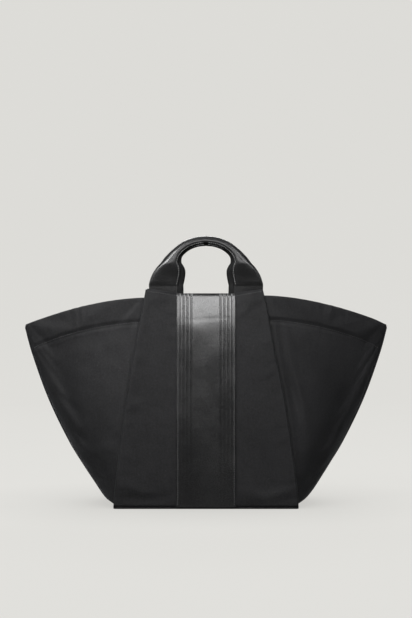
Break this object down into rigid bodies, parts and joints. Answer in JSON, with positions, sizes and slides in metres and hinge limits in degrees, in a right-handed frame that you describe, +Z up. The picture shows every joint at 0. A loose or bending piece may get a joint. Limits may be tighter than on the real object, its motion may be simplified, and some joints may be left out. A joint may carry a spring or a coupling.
{
  "type": "shopper bag",
  "caption": "Wide winged cloth shopper bag with a leather band down its middle, two short rolled leather handles and a zipped inner pocket.",
  "frame": {"origin": "on the floor under the middle of the base", "axes": "+Z up, -Y towards the front that the picture shows, +X to the right seen from the front"},
  "size_m": [0.508, 0.1636, 0.3706],
  "materials": {
    "cloth": "matte black tightly woven padded nylon",
    "leather": "smooth black leather, soft gloss",
    "lining": "dark grey woven lining",
    "board": "grey stiffening board",
    "cord": "twisted cotton cord",
    "metal": "dark plated metal",
    "tape": "black zip tape"
  },
  "bodies": {
    "bag": {"base_panel": "cloth", "base_board": "board", "base_lining": "lining", "front_centre_panel": "cloth", "back_centre_panel": "cloth", "front_leather_band": "leather", "back_leather_band": "leather", "front_left_wing": "cloth", "front_right_wing": "cloth", "back_left_wing": "cloth", "back_right_wing": "cloth", "front_left_facing": "cloth", "front_right_facing": "cloth", "back_left_facing": "cloth", "back_right_facing": "cloth", "front_centre_facing": "cloth", "back_centre_facing": "cloth", "front_lining": "lining", "back_lining": "lining", "left_side_seam": "cloth", "right_side_seam": "cloth", "front_left_handle_tab": "leather", "front_right_handle_tab": "leather", "back_left_handle_tab": "leather", "back_right_handle_tab": "leather", "snap_socket": "metal", "snap_stud": "metal", "zip_pocket_pouch": "lining", "zip_pocket_welt": "leather", "zip_tape_upper": "tape", "zip_tape_lower": "tape", "zip_teeth_upper": "metal", "zip_teeth_lower": "metal", "zip_stop_left": "metal", "zip_stop_right": "metal"},
    "front_handle": {"front_handle_leather": "leather", "front_handle_core": "cord"},
    "back_handle": {"back_handle_leather": "leather", "back_handle_core": "cord"},
    "zip_slider": {"zip_slider": "metal"},
    "zip_puller": {"zip_puller": "leather"}
  },
  "joints": [
    {"name": "front_handle_fold", "type": "hinge", "parent": "bag", "child": "front_handle", "pos_m": [0, -0.0396, 0.3036], "axis": [1, 0, 0], "range_deg": [-25, 88]},
    {"name": "back_handle_fold", "type": "hinge", "parent": "bag", "child": "back_handle", "pos_m": [0, 0.0396, 0.3036], "axis": [-1, 0, 0], "range_deg": [-25, 88]},
    {"name": "zip_slide", "type": "slide", "parent": "bag", "child": "zip_slider", "axis": [1, 0, 0], "range_m": [-0.117, 0]},
    {"name": "zip_puller_swing", "type": "hinge", "parent": "zip_slider", "child": "zip_puller", "pos_m": [0.0587, 0.04254, 0.214], "axis": [1, 0, 0], "range_deg": [-150, 6]}
  ]
}
